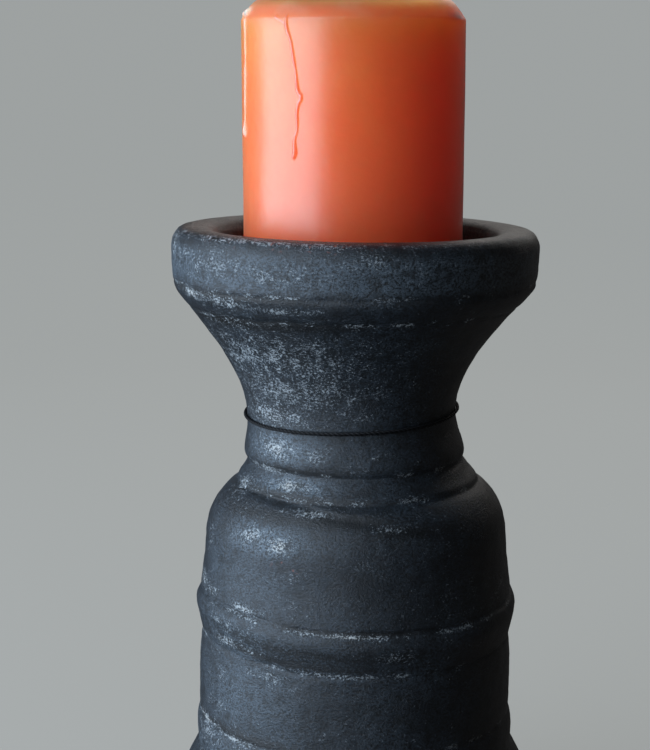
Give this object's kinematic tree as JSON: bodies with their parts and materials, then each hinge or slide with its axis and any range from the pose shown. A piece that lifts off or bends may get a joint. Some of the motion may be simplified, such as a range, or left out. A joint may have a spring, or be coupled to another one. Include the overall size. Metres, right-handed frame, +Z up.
{
  "type": "pillar candle holder",
  "caption": "Hand-thrown ceramic stand with a dished rim, narrow corded neck and belted body, holding a loosely seated pillar candle.",
  "frame": {"origin": "centre of the footprint, on the surface that the felt pads stand on", "axes": "+Z up along the turned axis, -Y towards the viewer, +X to the viewer's right"},
  "size_m": [0.1154, 0.1154, 0.276],
  "materials": {
    "slate_ceramic": "unglazed black-slate wash with pale dry-brushed scratches",
    "black_cord": "twisted black cord",
    "grey_felt": "pressed felt",
    "orange_wax": "satin translucent candle wax",
    "burnt_cotton": "charred braided cotton",
    "tinned_steel": "tinned sheet"
  },
  "bodies": {
    "holder": {"holder_body": "slate_ceramic", "neck_cord": "black_cord", "neck_cord_knot": "black_cord", "felt_pad_1": "grey_felt", "felt_pad_2": "grey_felt", "felt_pad_3": "grey_felt", "felt_pad_4": "grey_felt"},
    "candle": {"pillar_candle": "orange_wax", "candle_wick": "burnt_cotton", "wick_sustainer": "tinned_steel"}
  },
  "joints": [
    {"name": "candle_lift", "type": "slide", "parent": "holder", "child": "candle", "axis": [0, 0, 1], "range_m": [0, 0.05]}
  ]
}
